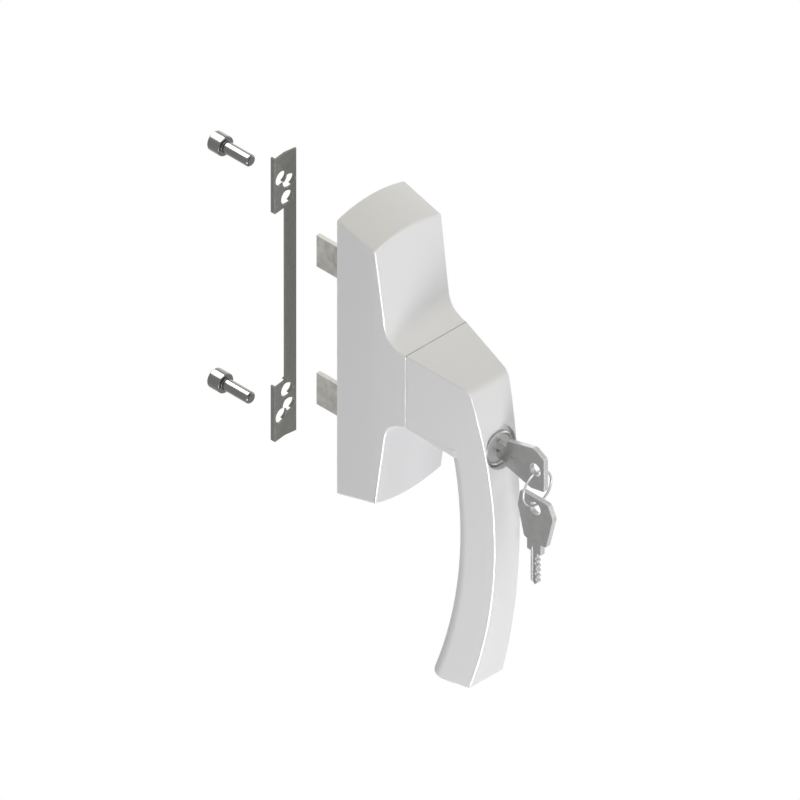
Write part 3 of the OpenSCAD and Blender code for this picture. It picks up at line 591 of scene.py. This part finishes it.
def make_lamp(name, direction, distance, size, power, colour=WHITE, diffuse=True):
    """A square or oblong lamp that faces the object, with or without light on dull surfaces."""
    lamp = bpy.data.lights.new(name, "AREA")
    lamp.shape = "RECTANGLE"
    lamp.size, lamp.size_y = size
    lamp.energy = power
    lamp.color = colour
    holder = new_object(name, lamp)
    away = Vector(direction).normalized()
    holder.location = LIGHT_CENTRE + away * distance
    holder.rotation_mode = "QUATERNION"
    holder.rotation_quaternion = (-away).to_track_quat("-Z", "Y")
    holder.visible_camera = False
    holder.visible_diffuse = diffuse
    return holder


def make_gloss(name, pieces, **settings):
    """A lamp that only the shine of some pieces shows."""
    lamp = make_lamp(name, diffuse=False, **settings)
    receivers = bpy.data.collections.new(name)
    lamp.light_linking.receiver_collection = receivers
    for piece in pieces:
        receivers.objects.link(piece)


def make_camera():
    camera = bpy.data.cameras.new("camera")
    camera.type = "ORTHO"
    camera.ortho_scale = VIEW_WIDTH
    holder = new_object("camera", camera)
    centre = VIEW_RIGHT * CENTRE_RIGHT + VIEW_UP * CENTRE_UP
    holder.location = centre + TO_CAMERA * CAMERA_AWAY
    holder.rotation_mode = "QUATERNION"
    holder.rotation_quaternion = (-TO_CAMERA).to_track_quat("-Z", "Y")
    bpy.context.scene.camera = holder


def light_object(castings, screws):
    """Lamps, with directions from the object, distances and sizes in metres and powers in watts."""
    make_lamp(
        "low_left", direction=(-0.50, -0.70, -0.51), distance=0.9, size=(0.5, 0.5), power=5.0
    )
    make_lamp("front", direction=(0.25, -1.0, 0.35), distance=1.2, size=(0.7, 0.7), power=2.8)
    make_lamp(
        "above",
        direction=(-0.1, -0.1, 1.0),
        distance=1.2,
        size=(0.9, 0.9),
        power=4.2,
        colour=WARM,
    )
    make_lamp("right", direction=(1.0, -0.2, 0.15), distance=1.2, size=(0.8, 0.8), power=3.5)
    make_lamp("rear", direction=(0.9, 1.0, 0.2), distance=1.2, size=(0.8, 0.8), power=2.2)
    make_gloss(
        "gloss",
        castings,
        direction=(-0.50, -0.65, -0.62),
        distance=0.62,
        size=(0.07, 0.5),
        power=10.0,
    )
    make_gloss(
        "streak",
        screws,
        direction=(0.01, 0.58, 0.82),
        distance=0.5,
        size=(0.38, 0.38),
        power=6.0,
    )


paint_nodes()
castings = [
    eased(
        "base_casing",
        node_form("base_casing"),
        radius=CASING_EDGE_R,
        share=casing_share,
    ),
    eased("handle_casting", handle_form(), is_front_rounding),
]
for node in ("upper_prong", "lower_prong"):
    # The prongs' upper and lower faces carry a painted highlight.
    eased(node, node_form(node), is_prong_edge, PRONG_EDGE_R, bright=SHEARED_AND_HIGHLIT)
screws = [
    eased(node, node_form(node), radius=SCREW_EDGE_R, bright=MATERIALS["dark_screw"])
    for node in ("fixing_screw_upper", "fixing_screw_lower")
]
for node in ("key", "spare_key"):
    # The keys' rim faces are painted lighter, as a painted highlight.
    eased(node, node_form(node), is_key_edge, KEY_EDGE_R, bright=KEY_RIM_HIGHLIGHT)
# The plate's eased edges are painted lighter than its faces.
eased("fixing_plate", node_form("fixing_plate"), radius=PLATE_EDGE_R, bright=LIGHT_EDGE_STEEL)
press_spring()
make_world()
make_floor()
light_object(castings, screws)
make_camera()
bpy.context.scene.view_settings.view_transform = "Standard"
